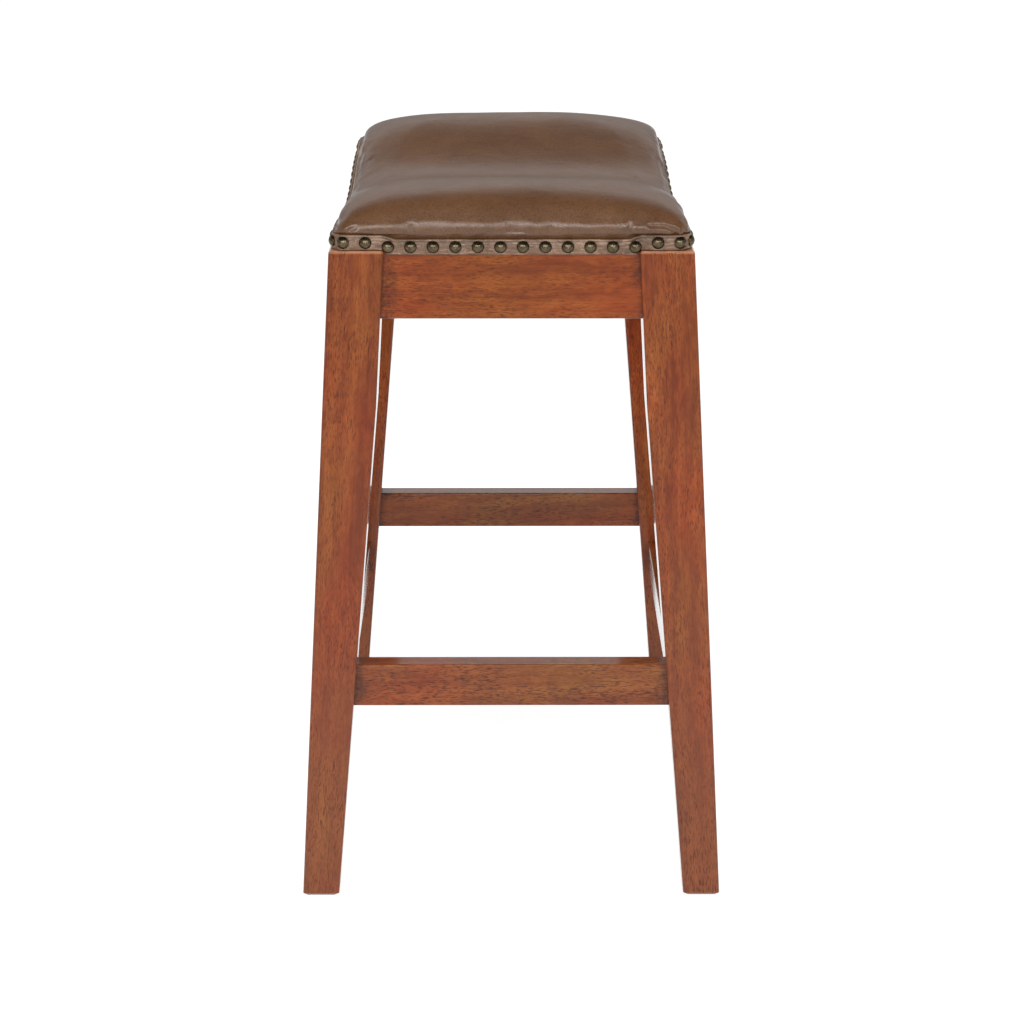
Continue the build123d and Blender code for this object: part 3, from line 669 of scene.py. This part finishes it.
def build_dust():
    columns, rows = 64, 40
    points, faces = [], []
    upper, lower = dust_top - 0.03, dust_top - 0.47
    for z in (upper, lower):
        for i in range(columns + 1):
            x = dust_x * (2 * i / columns - 1)
            limit = min(dust_y, dust_corner - abs(x))
            for j in range(rows + 1):
                y = limit * (2 * j / rows - 1)
                edge = min(dust_x - abs(x), limit - abs(y))
                slack = 0.5 * noise.noise(Vector((x / 26, y / 26, 3.3)))
                slack += 0.4 * noise.noise(Vector((x / 60, y / 60, 8.8)))
                sag = 0.9 * float(eased(edge, 8, 60)) + 0.55 * slack * float(eased(edge, 2, 18))
                points.append(Vector((x, y, z - saddle_drop(x) - max(sag, 0))))
    size = (columns + 1) * (rows + 1)

    def at(i, j):
        return i * (rows + 1) + j

    for i in range(columns):
        for j in range(rows):
            quad = (at(i, j), at(i + 1, j), at(i + 1, j + 1), at(i, j + 1))
            faces += [quad, tuple(size + k for k in quad[::-1])]
    rim = [at(i, 0) for i in range(columns + 1)] + [at(columns, j) for j in range(1, rows + 1)]
    rim += [at(i, rows) for i in range(columns - 1, -1, -1)] + [at(0, j) for j in range(rows - 1, 0, -1)]
    for a, b in zip(rim, rim[1:] + rim[:1]):
        faces.append((b, a, size + a, size + b))
    return points, faces


s = Shader("dust_cloth")
fibre = s.noise(s.place, 900, 3, 0.7)
clump = s.noise(s.place, 120, 3, 0.6)
s.set(Base_Color=s.ramp(s.math("ADD", s.math("MULTIPLY", fibre, 0.5), s.math("MULTIPLY", clump, 0.5)),
                        (0.35, rgb(24, 24, 25)), (0.65, rgb(46, 46, 48))),
      Roughness=0.95, Specular_IOR_Level=0.2, Normal=s.bump(fibre, 0.0002, 0.6))
dust = new_object("dust_cloth_sheet", *build_dust(), s.material)
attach(dust, "root")
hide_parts("dust_cover")

# Stage: pale floor, white surroundings and soft lamps.
floor = bpy.data.meshes.new("floor")
far = 14
floor.from_pydata([(-far, -far, 0), (far, -far, 0), (far, far, 0), (-far, far, 0)], [], [(0, 1, 2, 3)])
floor = bpy.data.objects.new("floor", floor)
scene.collection.objects.link(floor)
s = Shader("floor_paper")
s.set(Base_Color=(0.86, 0.86, 0.86, 1), Roughness=0.9, Specular_IOR_Level=0.0)
path = s.node("ShaderNodeLightPath").outputs
seen = s.math("MAXIMUM", path["Is Glossy Ray"], path["Is Transmission Ray"])
seen = s.math("MAXIMUM", path["Is Camera Ray"], seen)
paper = s.node("ShaderNodeBsdfDiffuse", {"Color": (0.55, 0.55, 0.55, 1)}).outputs[0]
white = s.node("ShaderNodeEmission", {"Strength": 0.76}).outputs[0]
bright = s.node("ShaderNodeAddShader", {0: paper, 1: white}).outputs[0]
shown = s.node("ShaderNodeMixShader", {0: seen, 1: s.surface.outputs[0], 2: bright}).outputs[0]
s.put(s.tree.nodes["Material Output"].inputs["Surface"], shown)
floor.data.materials.append(s.material)

# World: white to the camera, plain fill light, and a soft gradient in what reflects it.
world = bpy.data.worlds.new("studio")
scene.world = world
world.use_nodes = True
tree = world.node_tree
tree.nodes.clear()


def background(level):
    made = tree.nodes.new("ShaderNodeBackground")
    made.inputs[0].default_value = (level, level, level, 1)
    return made


def either(factor, off, on):
    made = tree.nodes.new("ShaderNodeMixShader")
    for socket, source in zip(made.inputs, (factor, off, on)):
        tree.links.new(source, socket)
    return made.outputs[0]


path = tree.nodes.new("ShaderNodeLightPath")
place = tree.nodes.new("ShaderNodeTexCoord")
split = tree.nodes.new("ShaderNodeSeparateXYZ")
ramp = tree.nodes.new("ShaderNodeValToRGB")
steps = ((0.0, 0.38), (0.22, 0.44), (0.31, 1.0), (0.39, 0.90), (0.44, 0.10), (1.0, 0.08))
while len(ramp.color_ramp.elements) < len(steps):
    ramp.color_ramp.elements.new(0.5)
for element, (position, level) in zip(ramp.color_ramp.elements, steps):
    element.position = position
    element.color = (level, level, level, 1)
mirrored, fill, plain = background(1), background(0.5), background(1)
tree.links.new(place.outputs["Generated"], split.inputs[0])
tree.links.new(split.outputs[2], ramp.inputs[0])
tree.links.new(ramp.outputs[0], mirrored.inputs[0])
lit = either(path.outputs["Is Glossy Ray"], fill.outputs[0], mirrored.outputs[0])
out = tree.nodes.new("ShaderNodeOutputWorld")
tree.links.new(either(path.outputs["Is Camera Ray"], lit, plain.outputs[0]), out.inputs[0])


def lamp(name, place, target, size, power, mirrored=True, lit=True):
    data = bpy.data.lights.new(name, "AREA")
    data.shape = "RECTANGLE"
    data.size, data.size_y = size
    data.energy = power
    made = bpy.data.objects.new(name, data)
    made.location = place
    made.rotation_euler = (Vector(target) - Vector(place)).to_track_quat("-Z", "Y").to_euler()
    made.visible_glossy, made.visible_diffuse = mirrored, lit
    scene.collection.objects.link(made)


lamp("lamp_left", (2.55, -1.15, 1.42), (0, 0, 0.5), (1.0, 0.55), 17)
lamp("lamp_right", (2.55, 1.15, 1.42), (0, 0, 0.5), (1.0, 0.55), 17)
lamp("lamp_front", (2.9, -0.15, 1.5), (0, 0, 0.6), (0.8, 0.5), 19, lit=False)
lamp("lamp_above", (0.7, 0.0, 2.5), (0, 0, 0.4), (1.8, 1.8), 27, mirrored=False)
